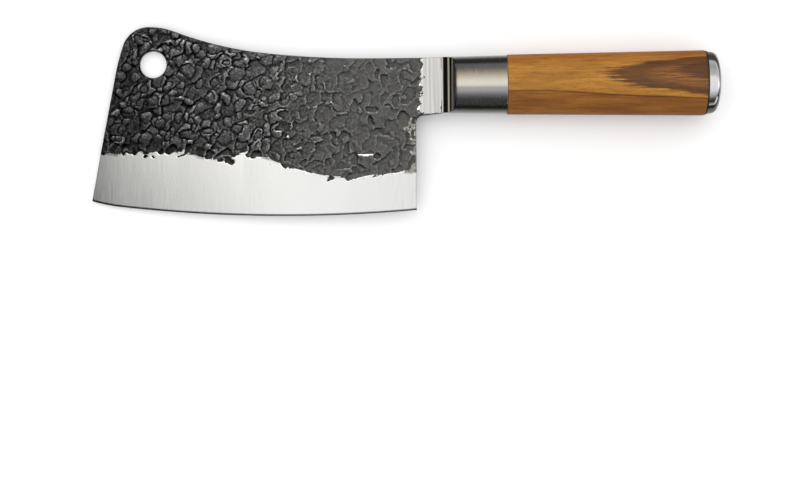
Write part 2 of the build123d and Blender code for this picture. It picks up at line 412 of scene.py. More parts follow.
def ground_height(points):
    """Height of the ground surfaces over the blade: the bevel, the neck and the strip along the heel."""
    x, y = points.T
    above_edge = edge_height(x, y)
    run_out = np.interp(x, *zip(*GRIND_LINE))
    slope = (HALF_THICK - EDGE_BEVEL_HALF_THICK) / (run_out - EDGE_BEVEL_HEIGHT)
    bevel = EDGE_BEVEL_HALF_THICK + slope * (above_edge - EDGE_BEVEL_HEIGHT)
    bevel += GRIND_RELEASE * np.maximum(above_scale_line(x, y), 0)
    edge_slope = (EDGE_BEVEL_HALF_THICK - EDGE_HALF_LAND) / EDGE_BEVEL_HEIGHT
    bevel = np.where(above_edge < EDGE_BEVEL_HEIGHT, EDGE_HALF_LAND + edge_slope * above_edge, bevel)
    neck = NECK_HALF_THICK + GRIND_SLOPE * np.maximum(NECK_GRIND_X - x, 0)
    heel = HAMMERED_HALF_THICK + HEEL_GRIND_SLOPE * (HEEL_X - HEEL_GRIND_WIDTH - x)
    heel = np.where(y < NECK_BOTTOM - 2, heel, HALF_THICK + 1)
    tang = np.where(x > BOLSTER_START_X + 0.1, TANG_HALF_THICK, HALF_THICK + 1)
    return np.minimum.reduce([bevel, neck, heel, tang])


def face_heights(points, rim_distance, relief):
    """Height of one face, how far the hammered surface lies below the ground one, and how it stands out."""
    fade = smoothstep(0, 2.2, rim_distance)
    above_line = above_scale_line(*points.T)
    strength = (0.35 + 0.65 * fade) * (0.6 + 0.4 * smoothstep(-2, 6, above_line))
    hammered = relief.sample(relief.height, points) * strength - 0.06 * (1 - fade)
    hammered += HALF_THICK - (HALF_THICK - HAMMERED_HALF_THICK) * smoothstep(-1, 4, above_line)
    ground = ground_height(points)
    off_x, off_y = ((points - RUBBED_CENTRE) / RUBBED_HALF_SIZE).T
    rubbed = np.exp(-(off_x**4) - off_y**2) > 0.45
    ground = np.where(rubbed, np.minimum(ground, hammered - RUBBED_SINK), ground)
    crests = [relief.sample(relief.crest(reach), points) * strength for reach in (4.2, 1.2)]
    return np.minimum(hammered, ground), ground - hammered, *crests


# ---- meshes

def new_object(name, data):
    """Object with this mesh, lamp or camera, in the scene."""
    result = bpy.data.objects.new(name, data)
    bpy.context.scene.collection.objects.link(result)
    return result


def new_piece(name, vertices, faces, node, material, attributes=None, sharp=40):
    """Mesh object from points in millimetres that stands for a CAD node and rides on the body."""
    mesh = bpy.data.meshes.new(name)
    mesh.from_pydata((np.array(vertices) * MM).tolist(), [], faces)
    for key, values in (attributes or {}).items():
        attribute = mesh.attributes.new(key, "FLOAT", "POINT")
        attribute.data.foreach_set("value", np.asarray(values, np.float32))
    shape = bmesh.new()
    shape.from_mesh(mesh)
    bmesh.ops.remove_doubles(shape, verts=shape.verts, dist=1e-6)
    bmesh.ops.dissolve_degenerate(shape, edges=shape.edges, dist=1e-7)
    bmesh.ops.recalc_face_normals(shape, faces=shape.faces)
    shape.to_mesh(mesh)
    shape.free()
    mesh.shade_smooth()
    mesh.set_sharp_from_angle(angle=math.radians(sharp))
    mesh.materials.append(material)
    piece = new_object(name, mesh)
    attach(piece, "root")
    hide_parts(node)
    return piece


def hexagonal_points(low, high, spacing):
    """Evenly spread points over a rectangle."""
    rows = np.arange(low[1], high[1], spacing * math.sqrt(3) / 2)
    columns = np.arange(low[0], high[0], spacing)
    x, y = np.meshgrid(columns, rows)
    x[1::2] += spacing / 2
    return np.column_stack([x.ravel(), y.ravel()])


def plate_points(outline):
    """Points inside the blade: close together on the hammered face, wider apart on the ground ones."""
    low = outline.min(axis=0)
    high = outline.max(axis=0)
    fine = hexagonal_points(low, high, HAMMERED_SPACING)
    coarse = hexagonal_points(low, high, GROUND_SPACING)

    def hammered(points):
        above_edge = edge_height(*points.T)
        run_out = np.interp(points[:, 0], *zip(*GRIND_LINE))
        return (above_edge > run_out - 7) & (points[:, 0] < NECK_GRIND_X + 2)

    points = np.vstack([fine[hammered(fine)], coarse[~hammered(coarse)]])
    points = points[inside(points, outline)]
    points = points[np.hypot(*points.T) > HOLE_RADIUS + HOLE_CHAMFER + HOLE_CLEARANCE]
    return points[distance_to(points, outline) > RIM_CLEARANCE]


def edge_bevel_points():
    """Rows of points that keep the line between the bevel and the edge bevel crisp."""
    belly_angles = np.arange(-BELLY_TO_NOSE, BELLY_TO_HEEL, CREASE_SPACING / BELLY_RADIUS)
    nose_start = -BELLY_TO_NOSE - math.radians(NOSE_EDGE_TURN)
    nose_angles = np.arange(nose_start, -BELLY_TO_NOSE, CREASE_SPACING / NOSE_EDGE_RADIUS)
    rows = []
    for height in (EDGE_BEVEL_HEIGHT, EDGE_BEVEL_HEIGHT + 0.35):
        rows.append(on_edge_arc(BELLY_CENTRE, BELLY_RADIUS - height, belly_angles))
        rows.append(on_edge_arc(NOSE_CENTRE, NOSE_EDGE_RADIUS - height, nose_angles))
    return np.vstack(rows)


def rings_to_faces(first, second):
    """Quads between two closed loops of vertex numbers."""
    following = zip(first, second, np.roll(second, -1), np.roll(first, -1))
    return [tuple(int(index) for index in quad) for quad in following]


def make_blade(material):
    """Plate with two different hammered faces, ground bevels, rounded rim and chamfered hole."""
    outline = blade_outline()
    nominal = np.minimum(ground_height(outline + 1e-6), HALF_THICK)
    rounding = np.minimum(EDGE_ROUND, 0.45 * nominal)
    rim = inset(outline, rounding)
    turns = np.linspace(0, 2 * math.pi, 96, endpoint=False)
    circle = np.column_stack([np.cos(turns), np.sin(turns)])
    hole = circle * (HOLE_RADIUS + HOLE_CHAMFER)
    crease = edge_bevel_points()
    crease = crease[inside(crease, rim)]
    crease = crease[distance_to(crease, rim) > 0.3]
    # Rows of points just inside the rim and round the hole keep the shading clean there.
    guard = inset(outline, rounding + GUARD_INSET)
    guard = guard[inside(guard, rim)]
    guard = guard[(distance_to(guard, rim) > 0.1) & (distance_to(guard, crease) > 0.2)]
    guard = np.vstack([guard, hole * (1 + GUARD_INSET / HOLE_RADIUS)])
    inner = plate_points(outline)
    inner = inner[distance_to(inner, crease) > 0.5]
    flat = np.vstack([rim, hole, crease, guard, inner])
    rim_loop = np.arange(len(rim))
    hole_loop = len(rim) + np.arange(len(hole))
    borders = list(zip(rim_loop.tolist(), np.roll(rim_loop, -1).tolist()))
    borders += list(zip(hole_loop.tolist(), np.roll(hole_loop, -1).tolist()))
    placed, _, triangles, *_ = delaunay_2d_cdt([Vector(point) for point in flat], borders, [], 0, 1e-5, False)
    flat = np.array([tuple(point) for point in placed])
    middles = flat[np.array(triangles)].mean(axis=1)
    kept = inside(middles, rim) & (np.hypot(*middles.T) > HOLE_RADIUS + HOLE_CHAMFER - 0.02)
    triangles = np.array(triangles)[kept]

    rim_distance = distance_to(flat, outline)
    rows = []
    faces = []
    loops = []

    def add_points(points, height, *finish):
        """Add points with their height and finish values, and return their numbers."""
        first = sum(map(len, rows))
        columns = [np.broadcast_to(value, len(points)) for value in (height, *finish)]
        rows.append(np.column_stack([points, *columns]))
        return first + np.arange(len(points))

    for side, cracks in ((1, LEFT_CRACKS), (-1, RIGHT_CRACKS)):
        relief = hammered_relief(SEED + side, cracks)
        height, cover, crest, ridge = face_heights(flat, rim_distance, relief)
        plate = add_points(flat, side * height, cover, crest, ridge)
        faces.extend(plate[triangles].tolist())
        rim_height = np.minimum(height[rim_loop], nominal)
        wall_height = np.maximum(rim_height - rounding, 0.3 * rim_height)
        middle_height = wall_height + 0.7 * (rim_height - wall_height)
        rim_finish = (cover[rim_loop], crest[rim_loop], 0.0)
        rings = [
            plate[rim_loop],
            add_points(outline + 0.3 * (rim - outline), side * middle_height, *rim_finish),
            add_points(outline, side * wall_height, *rim_finish),
        ]
        hole_height = height[hole_loop] - HOLE_CHAMFER
        # The hole's wall gets low crest and ridge values, so the finish paints it near black: painted shade
        # in the hole.
        hole_wall = add_points(circle * HOLE_RADIUS, side * hole_height, 0.05, -0.1, -0.1)
        for first, second in zip(rings, rings[1:]):
            faces.extend(rings_to_faces(first, second))
        faces.extend(rings_to_faces(plate[hole_loop], hole_wall))
        loops.append((rings[-1], hole_wall))
    for first, second in zip(*loops):
        faces.extend(rings_to_faces(first, second))
    table = np.vstack(rows)
    cover, crest, ridge = table[:, 3:].T
    # crest and ridge also drive the painted shade and highlight in the scale's colour.
    attributes = {"cover": np.clip(cover, -0.5, 0.5), "crest": crest, "ridge": ridge}
    return new_piece("forged_blade", table[:, :3], faces, "blade", material, attributes, 50)


def signed_power(value, power):
    return np.sign(value) * np.abs(value) ** power


RING_TURNS = np.linspace(0, 2 * math.pi, RING_POINTS, endpoint=False)
UNIT_OVAL = np.column_stack([
    signed_power(np.cos(RING_TURNS), 2 / OVAL_POWER) / 2,
    signed_power(np.sin(RING_TURNS), 2 / OVAL_POWER) / 2,
])
UNIT_CIRCLE = np.column_stack([np.cos(RING_TURNS), np.sin(RING_TURNS)])


def ring(x, section):
    """A loop of points across the handle line at station x, from (height, thickness) offsets."""
    return np.column_stack([np.broadcast_to(x, len(section)), AXIS_Y + section[:, 0], section[:, 1]])


def oval_ring(x, size, shrink=0):
    return ring(x, UNIT_OVAL * (np.array(size) - 2 * shrink))


def skin(rings, closed):
    """Vertices and quads of a surface through the rings, which all have the same number of points."""
    count = len(rings[0])
    vertices = np.vstack(rings)
    faces = []
    for index in range(len(rings) if closed else len(rings) - 1):
        first = index * count + np.arange(count)
        second = (index + 1) % len(rings) * count + np.arange(count)
        faces.extend(rings_to_faces(first, second))
    return vertices, faces


def rounded_end(x, size, radius, inward):
    """Rings of a quarter-round edge from the end face to the side. inward is the direction of the body."""
    rings = []
    for angle in np.linspace(0, math.pi / 2, 6):
        shrink = radius * (1 - math.sin(angle))
        rings.append(oval_ring(x + inward * radius * (1 - math.cos(angle)), size, shrink))
    return rings


def make_bolster(material):
    """Oval steel body with a cove on both faces, slotted for the tang and bored for the rod."""
    lean = math.radians(COVE_WALL_ANGLE)
    bend = np.linspace(0, lean, 60)
    climb = np.linspace(0.1, 8, 60)
    foot_x = COVE_RADIUS * np.sin(bend)
    foot_z = COVE_LIP + COVE_RADIUS * (1 - np.cos(bend))
    cove_x = BOLSTER_START_X + np.append(foot_x, foot_x[-1] + climb * math.cos(lean))
    cove_z = np.append(foot_z, foot_z[-1] + climb * math.sin(lean))
    length = BOLSTER_END_X - BOLSTER_START_X
    front = UNIT_OVAL * np.array(BOLSTER_FRONT)
    rear = UNIT_OVAL * np.array(BOLSTER_REAR)
    cove_rows = 40
    body_rows = 30
    columns = []
    for start, end in zip(front, rear):
        # Where the cove's curve leaves the side of the bolster, in steps along that curve
        side_z = np.abs(start[1] + (end[1] - start[1]) * (cove_x - BOLSTER_START_X) / length)
        above = side_z - cove_z
        crossing = int(np.argmax(above < 0))
        if above[0] <= 0:
            cut = 0.0
        else:
            cut = crossing - 1 + above[crossing - 1] / (above[crossing - 1] - above[crossing])
        steps = np.arange(len(cove_x))
        along = np.linspace(0, max(cut - 0.8, 0), cove_rows)
        x = np.interp(along, steps, cove_x)
        z = np.interp(along, steps, cove_z)
        corner_x = np.interp(cut, steps, cove_x)
        x = np.append(x, corner_x + COVE_CREASE * 0.12 * min(cut, 1))
        z = np.append(z, np.interp(cut, steps, cove_z) - COVE_CREASE * 0.45 * min(cut, 1))
        rest = np.linspace(corner_x + COVE_CREASE, BOLSTER_END_X, body_rows)
        share = (rest - BOLSTER_START_X) / length
        x = np.append(x, rest)
        z = np.append(z, abs(start[1]) + (abs(end[1]) - abs(start[1])) * share)
        if cut == 0:
            z[: cove_rows + 1] = abs(start[1])
        y = start[0] + (end[0] - start[0]) * (x - BOLSTER_START_X) / length
        columns.append(np.column_stack([x, AXIS_Y + y, np.copysign(z, start[1])]))
    grid = np.array(columns).transpose(1, 0, 2)
    rings = list(grid[:-1]) + rounded_end(BOLSTER_END_X, BOLSTER_REAR, BOLSTER_ROUND, -1)[::-1]
    slot = rectangle_section(TANG_HEIGHT, 2 * TANG_HALF_THICK)
    rings += [
        ring(BOLSTER_END_X, UNIT_CIRCLE * ROD_RADIUS),
        ring(TANG_END_X, UNIT_CIRCLE * ROD_RADIUS),
        ring(TANG_END_X, slot),
        ring(BOLSTER_START_X, slot),
    ]
    vertices, faces = skin(rings, closed=True)
    in_cove = np.zeros(len(rings))
    in_cove[: cove_rows + 1] = 1
    attributes = {"cove": np.repeat(in_cove, RING_POINTS)}
    return new_piece("steel_bolster", vertices, faces, "bolster", material, attributes)


def rectangle_section(height, thick):
    """Rectangle about the handle line with as many points as the other rings."""
    scale = 1 / np.maximum(np.abs(UNIT_CIRCLE[:, 0]) / (height / 2), np.abs(UNIT_CIRCLE[:, 1]) / (thick / 2))
    return UNIT_CIRCLE * scale[:, None]


def handle_size(x):
    """Height and thickness of the wood at a station, on a parabola through its three sections."""
    sections = {BOLSTER_END_X: HANDLE_FRONT, HANDLE_MIDDLE_X: HANDLE_MIDDLE, HANDLE_END_X: HANDLE_REAR}
    size = np.zeros(2)
    for station, section in sections.items():
        shares = [(x - other) / (station - other) for other in sections if other != station]
        size += np.array(section) * math.prod(shares)
    return size


def make_handle(material):
    """Turned wood with its bore and counterbore."""
    rings = rounded_end(BOLSTER_END_X, handle_size(BOLSTER_END_X), HANDLE_ROUND, 1)
    for x in np.linspace(BOLSTER_END_X + 1, HANDLE_END_X - 1, 90):
        rings.append(oval_ring(x, handle_size(x)))
    rings += rounded_end(HANDLE_END_X, handle_size(HANDLE_END_X), HANDLE_ROUND, -1)[::-1]
    rings += [
        ring(HANDLE_END_X, UNIT_CIRCLE * COUNTERBORE_RADIUS),
        ring(HANDLE_END_X - COUNTERBORE_DEPTH, UNIT_CIRCLE * COUNTERBORE_RADIUS),
        ring(HANDLE_END_X - COUNTERBORE_DEPTH, UNIT_CIRCLE * ROD_BORE_RADIUS),
        ring(BOLSTER_END_X, UNIT_CIRCLE * ROD_BORE_RADIUS),
    ]
    vertices, faces = skin(rings, closed=True)
    return new_piece("wood_grip", vertices, faces, "handle", material)


def make_liner(material):
    """Thin fibre spacer with slightly rounded rims."""
    rings = rounded_end(HANDLE_END_X, LINER_SIZE, LINER_ROUND, 1)
    rings += rounded_end(LINER_END_X, LINER_SIZE, LINER_ROUND, -1)[::-1]
    rings += [
        ring(LINER_END_X, UNIT_CIRCLE * COUNTERBORE_RADIUS),
        ring(HANDLE_END_X, UNIT_CIRCLE * COUNTERBORE_RADIUS),
    ]
    vertices, faces = skin(rings, closed=True)
    return new_piece("fibre_spacer", vertices, faces, "rear_liner", material)


def make_cap(material):
    """Domed steel cap: straight sides, a rolled rim and a shallow dome, with its hollow spigot."""
    front = UNIT_OVAL * np.array(CAP_FRONT)
    rear = UNIT_OVAL * np.array(CAP_REAR)
    front_radius = np.hypot(*front.T)
    rear_radius = np.hypot(*rear.T)
    direction = rear / rear_radius[:, None]
    centre_x = CAP_END_X - CAP_DOME_RADIUS
    run = CAP_END_X - LINER_END_X
    slope = (front_radius - rear_radius) / run
    tilt = np.arctan(slope)
    # The centre of the rim's round lies at its radius inside both the side and the dome.
    inner_radius = CAP_DOME_RADIUS - CAP_ROUND
    side_at_centre = front_radius - slope * (centre_x - LINER_END_X) - CAP_ROUND / np.cos(tilt)
    reach = side_at_centre * np.cos(tilt)
    angle = np.arcsin(reach / inner_radius) - tilt
    round_x = centre_x + inner_radius * np.cos(angle)
    round_r = inner_radius * np.sin(angle)
    rings = []
    side_end_x = round_x + CAP_ROUND * np.sin(tilt)
    for share in np.linspace(0, 1, 10):
        x = LINER_END_X + share * (side_end_x - LINER_END_X)
        rings.append((x, front_radius - slope * (x - LINER_END_X)))
    for share in np.linspace(0, 1, 20)[1:]:
        steer = (1 - share) * (math.pi / 2 - tilt) + share * angle
        rings.append((round_x + CAP_ROUND * np.cos(steer), round_r + CAP_ROUND * np.sin(steer)))
    for share in np.linspace(1, 0, 26)[1:-1]:
        steer = angle * share
        rings.append((centre_x + CAP_DOME_RADIUS * np.cos(steer), CAP_DOME_RADIUS * np.sin(steer)))
    loops = [
        ring(CAP_RECESS_X, UNIT_CIRCLE * CAP_RECESS_RADIUS),
        ring(SPIGOT_X, UNIT_CIRCLE * CAP_RECESS_RADIUS),
        ring(SPIGOT_X, UNIT_CIRCLE * COUNTERBORE_RADIUS),
        ring(LINER_END_X, UNIT_CIRCLE * COUNTERBORE_RADIUS),
    ]
    loops += [ring(x, direction * radius[:, None]) for x, radius in rings]
    vertices, faces = skin(loops, closed=False)
    tips = np.array([(CAP_RECESS_X, AXIS_Y, 0), (CAP_END_X, AXIS_Y, 0)])
    recess_tip = len(vertices)
    dome_tip = recess_tip + 1
    last = (len(loops) - 1) * RING_POINTS
    for index in range(RING_POINTS):
        after = (index + 1) % RING_POINTS
        faces.append((recess_tip, after, index))
        faces.append((dome_tip, last + index, last + after))
    vertices = np.vstack([vertices, tips])
    return new_piece("end_cap_polished", vertices, faces, "end_cap", material, None, 35)


# ---- materials

class Graph:
    """Short calls for building the node tree of a material or of the world."""

    def __init__(self, owner):
        self.owner = owner
        owner.use_nodes = True
        self.tree = owner.node_tree
        self.tree.nodes.clear()

    def add(self, kind, inputs=None, **settings):
        node = self.tree.nodes.new(kind)
        for key, value in settings.items():
            setattr(node, key, value)
        for key, value in (inputs or {}).items():
            self.feed(node.inputs[key], value)
        return node

    def feed(self, socket, value):
        """Link a socket to another one, or set its number, vector or colour."""
        if isinstance(value, bpy.types.NodeSocket):
            self.tree.links.new(value, socket)
        elif socket.type == "RGBA" and len(value) == 3:
            socket.default_value = (*value, 1)
        else:
            socket.default_value = value

    def math(self, operation, first, second=0.0):
        return self.add("ShaderNodeMath", {0: first, 1: second}, operation=operation).outputs[0]

    def plus(self, first, second):
        return self.math("ADD", first, second)

    def minus(self, first, second):
        return self.math("SUBTRACT", first, second)

    def times(self, first, second):
        return self.math("MULTIPLY", first, second)

    def split(self, vector):
        return self.add("ShaderNodeSeparateXYZ", {0: vector}).outputs

    def attribute(self, name):
        return self.add("ShaderNodeAttribute", attribute_name=name).outputs["Fac"]

    def fit(self, value, low, high, new_low=0.0, new_high=1.0):
        inputs = {"Value": value, 1: low, 2: high, 3: new_low, 4: new_high}
        return self.add("ShaderNodeMapRange", inputs, interpolation_type="SMOOTHSTEP").outputs[0]

    def place(self, scale=(1, 1, 1), turn=(0, 0, 0)):
        """Position on the object, in millimetres, stretched and turned."""
        where = self.add("ShaderNodeTexCoord").outputs["Object"]
        scale = [1000 * value for value in scale]
        return self.add("ShaderNodeMapping", {0: where, "Scale": scale, "Rotation": turn}).outputs[0]

    def noise(self, vector, size, detail, rough):
        inputs = {"Vector": vector, "Scale": 1 / size, "Detail": detail, "Roughness": rough}
        return self.add("ShaderNodeTexNoise", inputs).outputs["Fac"]

    def ramp(self, value, stops):
        """Colour ramp from (position, grey or colour) stops."""
        node = self.add("ShaderNodeValToRGB", {0: value})
        points = node.color_ramp.elements
        while len(points) < len(stops):
            points.new(1)
        for point, (position, _) in zip(points, stops):
            point.position = position
        for point, (_, colour) in zip(points, stops):
            point.color = (*colour, 1) if isinstance(colour, tuple) else (colour, colour, colour, 1)
        return node.outputs[0]

    def mix(self, share, first, second, blend="MIX"):
        inputs = {0: share, 6: first, 7: second}
        return self.add("ShaderNodeMix", inputs, data_type="RGBA", blend_type=blend).outputs[2]

    def bump(self, height, distance, below=None):
        inputs = {"Height": height, "Distance": distance * MM, "Strength": 1.0}
        if below is not None:
            inputs["Normal"] = below
        return self.add("ShaderNodeBump", inputs).outputs[0]

    def surface(self, **inputs):
        """Finish the material with these inputs of its shader, and give it back."""
        named = {}
        for name, value in inputs.items():
            named[name.replace("_", " ").title().replace("Ior", "IOR")] = value
        shader = self.add("ShaderNodeBsdfPrincipled", named)
        self.add("ShaderNodeOutputMaterial", {"Surface": shader.outputs[0]})
        return self.owner


def forged_steel():
    """Black forge scale in the hollows of the hammer marks, brushed steel wherever the grinding reached; the
    scale has painted shade in its hollows and painted highlight on its crests.
    """
    g = Graph(bpy.data.materials.new("forged_steel_finish"))
    here = g.place()
    x, y, _ = g.split(here)
    cover = g.attribute("cover")
    crest = g.attribute("crest")
    ridge = g.attribute("ridge")
    ragged = g.mix(g.fit(x, 20, 60), g.noise(here, 1.3, 4, 0.65), g.noise(g.place((1.3, 0.3, 1)), 1, 4, 0.7))
    ragged = g.mix(g.fit(x, 122, 127), ragged, g.noise(here, 1.8, 4, 0.7))
    threshold = g.times(g.minus(ragged, 0.5), g.fit(x, 121, 128, 0.14, 0.75))
    threshold = g.times(threshold, g.fit(x, 138, 135, 0.1, 1.0))
    scale = g.fit(g.plus(cover, threshold), -0.004, 0.012)

    blotches = g.noise(here, 9, 3, 0.6)
    speckle = g.noise(here, 1.0, 4, 0.75)
    dark = g.ramp(blotches, [(0.3, (0.023, 0.023, 0.024)), (0.7, (0.045, 0.046, 0.048))])
    dark = g.mix(g.fit(x, -25, 100, 0.0, 0.85), dark, (0.115, 0.117, 0.122))
    # The scale is painted darker where it lies below its surroundings and lighter where it stands above them:
    # painted shade in the hollows, painted highlight on the crests.
    crest_painted_shade_and_light = g.ramp(g.fit(crest, -0.3, 0.3), [(0.15, 0.15), (0.42, 0.65), (0.55, 1.1), (0.85, 1.9)])
    dark = g.mix(g.fit(x, 50, 100, 1.0, 0.5), dark, g.mix(1.0, dark, crest_painted_shade_and_light, "MULTIPLY"))
    # The fine ridges, with a little grit, drive painted light: the ramps below paint shade into the hollows
    # and highlight on the ridges, softer towards the heel.
    ridge_and_grit = g.plus(ridge, g.times(speckle, 0.12))
    shade = g.ramp(ridge_and_grit, [(0.0, 0.12), (0.035, 0.4), (0.06, 0.9), (0.075, 1.3), (0.095, 2.0), (0.14, 3.0)])
    soft_shade = g.ramp(ridge_and_grit, [
        (0.0, 0.6), (0.035, 0.78), (0.06, 0.95), (0.075, 1.2), (0.095, 1.9), (0.14, 2.8),
    ])
    shade = g.mix(g.fit(x, 50, 95), shade, soft_shade)
    dark = g.mix(1.0, dark, shade, "MULTIPLY")
    # Bare grey steel on the highest ridges, stronger towards the heel: partly worn metal, partly a painted
    # glint.
    wear_and_painted_glint = g.times(g.fit(ridge_and_grit, 0.105, 0.14), g.fit(x, -20, 90, 0.2, 0.8))
    dark = g.mix(wear_and_painted_glint, dark, (0.4, 0.4, 0.4))
    brush = g.noise(g.place((2.5, 0.05, 1)), 1, 3, 0.6)
    steel = g.ramp(brush, [(0.3, (0.66, 0.665, 0.675)), (0.7, (0.72, 0.725, 0.735))])
    streaks = g.noise(g.place((1.1, 0.02, 1)), 1, 2, 0.5)
    neck = g.ramp(streaks, [(0.35, (0.62, 0.62, 0.635)), (0.65, (0.84, 0.84, 0.855))])
    # A little brighter towards the heel: painted reflection on the ground steel.
    steel = g.mix(g.fit(x, 40, 75), steel, g.mix(1.0, steel, (1.08, 1.08, 1.07), "MULTIPLY"))
    steel = g.mix(g.fit(x, 132, 136), steel, neck)
    heel = g.times(g.fit(x, 124.5, 126), g.fit(y, -56.5, -54.5))
    heel = g.times(heel, g.fit(y, NECK_BOTTOM, NECK_BOTTOM - 1))
    steel = g.mix(heel, steel, g.ramp(speckle, [(0.35, 0.08), (0.65, 0.36)]))
    colour = g.mix(scale, steel, dark)

    scale_rough = g.ramp(g.noise(here, 1.1, 3, 0.6), [(0.3, 0.30), (0.75, 0.42)])
    ground_rough = g.mix(g.fit(x, 132, 136), g.ramp(brush, [(0.3, 0.14), (0.7, 0.22)]), (0.5, 0.5, 0.5))
    rough = g.mix(scale, ground_rough, scale_rough)

    grain = g.times(scale, g.fit(x, 30, 120, 1.0, 0.5))
    grain = g.times(g.noise(here, 1.0, 4, 0.7), grain)
    scratches = g.times(brush, g.minus(1.0, scale))
    normal = g.bump(grain, 0.24)
    normal = g.bump(scratches, 0.0025, normal)
    return g.surface(base_color=colour, metallic=1.0, roughness=rough, normal=normal)


def brushed_steel():
    """Satin steel with brush lines that run round the oval, and a polished cove darkened with painted shade.
    """
    g = Graph(bpy.data.materials.new("brushed_steel_finish"))
    cove = g.attribute("cove")
    lines = g.noise(g.place((6, 0.12, 0.12)), 1, 4, 0.65)
    stain = g.noise(g.place(), 14, 2, 0.5)
    colour = g.ramp(lines, [(0.3, (0.50, 0.49, 0.47)), (0.7, (0.62, 0.61, 0.59))])
    colour = g.mix(g.ramp(stain, [(0.4, 0.0), (0.8, 0.25)]), colour, (0.52, 0.50, 0.46))
    # The cove's colour is pulled towards black: painted shade in the recess.
    colour = g.mix(g.times(cove, 0.6), colour, (0.02, 0.02, 0.02))
    rough = g.mix(cove, g.ramp(lines, [(0.3, 0.2), (0.7, 0.28)]), (0.05, 0.05, 0.05))
    height = g.times(lines, g.minus(1.0, cove))
    tangent = g.add("ShaderNodeTangent", direction_type="RADIAL", axis="X").outputs[0]
    return g.surface(
        base_color=colour, metallic=1.0, roughness=rough, anisotropic=1.0, anisotropic_rotation=0.25,
        tangent=tangent, normal=g.bump(height, 0.004),
    )


def finish(name, stretch, noise, colours, roughs, depth, turn=(0, 0, 0), metallic=0.0):
    """Material whose colour, gloss and bumps all follow one noise, given as (size, detail, roughness)."""
    g = Graph(bpy.data.materials.new(name))
    field = g.noise(g.place(stretch, turn), *noise)
    return g.surface(
        base_color=g.ramp(field, colours), metallic=metallic, roughness=g.ramp(field, roughs),
        normal=g.bump(field, depth),
    )


def polished_steel():
    """Almost mirror-bright steel with fine wiping marks."""
    colours = [(0.3, (0.84, 0.83, 0.81)), (0.7, (0.92, 0.91, 0.90))]
    roughs = [(0.35, 0.05), (0.75, 0.14)]
    turn = (0.5, 0.4, 0.2)
    return finish("polished_steel_finish", (1, 0.3, 1), (1.2, 4, 0.7), colours, roughs, 0.003, turn, 1.0)


def black_fibre():
    """Vulcanised fibre: nearly black, with a faint mottled grain."""
    colours = [(0.3, (0.008, 0.008, 0.008)), (0.75, (0.022, 0.021, 0.020))]
    return finish("black_fibre_finish", (1, 1, 1), (0.8, 4, 0.6), colours, [(0.3, 0.4), (0.7, 0.6)], 0.02)


def plain_steel():
    """Bright turned steel of the rod, washer and nut inside the handle."""
    colours = [(0.3, (0.52, 0.52, 0.53)), (0.7, (0.66, 0.66, 0.66))]
    roughs = [(0.3, 0.28), (0.7, 0.42)]
    return finish("turned_steel_finish", (3, 0.3, 0.3), (1, 3, 0.6), colours, roughs, 0.01, metallic=1.0)


